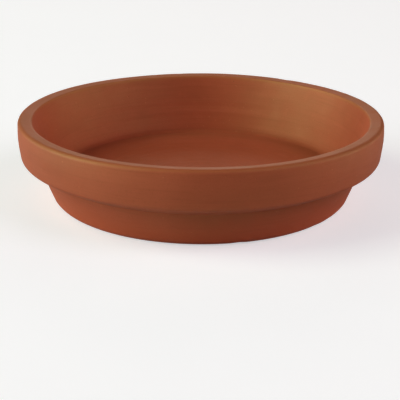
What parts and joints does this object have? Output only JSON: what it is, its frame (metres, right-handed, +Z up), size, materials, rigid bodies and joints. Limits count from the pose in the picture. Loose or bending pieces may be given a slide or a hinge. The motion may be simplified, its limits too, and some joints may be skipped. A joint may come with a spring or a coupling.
{
  "type": "plant pot saucer",
  "caption": "Shallow round terracotta dish with a flared foot and a raised band round its rim, set under a plant pot to catch water.",
  "frame": {"origin": "middle of the underside, on the dish's axis", "axes": "+Z up along the dish's axis; the dish is round, so X and Y are any level pair"},
  "size_m": [0.1518, 0.1518, 0.0344],
  "materials": {
    "fired_clay": "matte"
  },
  "bodies": {
    "root": {"saucer_body": "fired_clay"}
  },
  "joints": []
}
